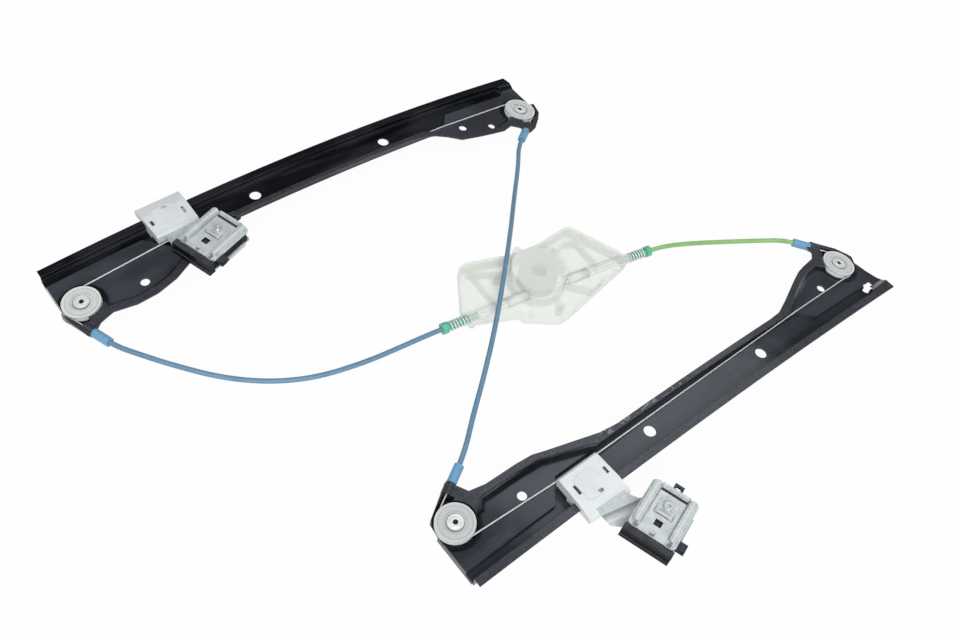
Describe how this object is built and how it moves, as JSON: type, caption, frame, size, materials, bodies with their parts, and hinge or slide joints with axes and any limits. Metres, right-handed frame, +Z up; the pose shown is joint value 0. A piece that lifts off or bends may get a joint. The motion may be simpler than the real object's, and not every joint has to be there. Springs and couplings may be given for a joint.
{
  "type": "window regulator",
  "caption": "Cable-driven twin-rail window regulator with curved rails, sliders with glass clamps, guide pulleys, conduits and a drum housing.",
  "frame": {"origin": "middle of the bounding box at the floor, conduits left out", "axes": "+X along both rails from their low ends to their top ends, +Y towards the rail on the left, +Z up, out of the glass side"},
  "size_m": [0.7434, 0.5844, 0.0491],
  "materials": {
    "rail_black": "gloss",
    "pulley_white": "satin",
    "zinc_steel": "satin",
    "ferrule_blue": "satin",
    "cable_steel": "satin",
    "slider_white": "satin",
    "liner_black": "matt",
    "cap_mint": "satin",
    "housing_clear": "satin",
    "drum_white": "satin",
    "conduit_blue": "satin",
    "conduit_green": "satin"
  },
  "bodies": {
    "frame": {"crossing_conduit": "conduit_blue", "drum_cables": "cable_steel", "drum_housing": "housing_clear", "left_cable": "cable_steel", "left_conduit_spring": "cap_mint", "left_lower_ferrule": "ferrule_blue", "left_lower_pulley_axle": "zinc_steel", "left_rail": "rail_black", "left_spring_cap": "cap_mint", "left_upper_ferrule": "ferrule_blue", "left_upper_pulley_axle": "zinc_steel", "lower_conduit": "conduit_blue", "right_cable": "cable_steel", "right_conduit_spring": "cap_mint", "right_lower_ferrule": "ferrule_blue", "right_lower_pulley_axle": "zinc_steel", "right_rail": "rail_black", "right_spring_cap": "cap_mint", "right_upper_ferrule": "ferrule_blue", "right_upper_pulley_axle": "zinc_steel", "upper_conduit": "conduit_green"},
    "left_carrier": {"left_slider": "slider_white", "left_bracket": "zinc_steel", "left_clamp_jaw": "zinc_steel", "left_clamp_liner": "liner_black", "left_clamp_bolt": "zinc_steel", "left_clamp_nut": "zinc_steel"},
    "left_lower_pulley_body": {"left_lower_pulley": "pulley_white"},
    "left_upper_pulley_body": {"left_upper_pulley": "pulley_white"},
    "right_carrier": {"right_slider": "slider_white", "right_bracket": "zinc_steel", "right_clamp_jaw": "zinc_steel", "right_clamp_liner": "liner_black", "right_clamp_bolt": "zinc_steel", "right_clamp_nut": "zinc_steel"},
    "right_lower_pulley_body": {"right_lower_pulley": "pulley_white"},
    "right_upper_pulley_body": {"right_upper_pulley": "pulley_white"},
    "drum": {"cable_drum": "drum_white", "cable_windings": "cable_steel"}
  },
  "joints": [
    {"name": "left_carrier_travel", "type": "hinge", "parent": "frame", "child": "left_carrier", "pos_m": [-0.08065, 0.22274, -2.53206], "axis": [0, 1, 0], "range_deg": [-1.23, 7.16]},
    {"name": "right_carrier_travel", "type": "hinge", "parent": "frame", "child": "right_carrier", "pos_m": [0.06915, -0.15236, -2.53206], "axis": [0, 1, 0], "range_deg": [-1.23, 7.16]},
    {"name": "left_lower_pulley_spin", "type": "hinge", "parent": "frame", "child": "left_lower_pulley_body", "pos_m": [-0.35098, 0.22274, 0.01262], "axis": [-0.1056, 0, 0.9944], "range_deg": [-1079.2, 187.2]},
    {"name": "left_upper_pulley_spin", "type": "hinge", "parent": "frame", "child": "left_upper_pulley_body", "pos_m": [0.18968, 0.22274, 0.01262], "axis": [0.1056, 0, 0.9944], "range_deg": [-1079.2, 187.2]},
    {"name": "right_lower_pulley_spin", "type": "hinge", "parent": "frame", "child": "right_lower_pulley_body", "pos_m": [-0.20118, -0.15236, 0.01262], "axis": [-0.1056, 0, 0.9944], "range_deg": [-187.2, 1079.2]},
    {"name": "right_upper_pulley_spin", "type": "hinge", "parent": "frame", "child": "right_upper_pulley_body", "pos_m": [0.33948, -0.15236, 0.01262], "axis": [0.1056, 0, 0.9944], "range_deg": [-187.2, 1079.2]},
    {"name": "drum_spin", "type": "hinge", "parent": "frame", "child": "drum", "pos_m": [0.03935, 0.01674, 0.011], "axis": [0, 0, 1], "range_deg": [-1048.5, 181.9]}
  ],
  "couplings": [
    {"joint": "right_carrier_travel", "follows": "left_carrier_travel", "ratio": 1},
    {"joint": "left_lower_pulley_spin", "follows": "left_carrier_travel", "ratio": -150.53},
    {"joint": "left_upper_pulley_spin", "follows": "left_carrier_travel", "ratio": -150.53},
    {"joint": "right_lower_pulley_spin", "follows": "left_carrier_travel", "ratio": 150.53},
    {"joint": "right_upper_pulley_spin", "follows": "left_carrier_travel", "ratio": 150.53},
    {"joint": "drum_spin", "follows": "left_carrier_travel", "ratio": -146.23}
  ]
}
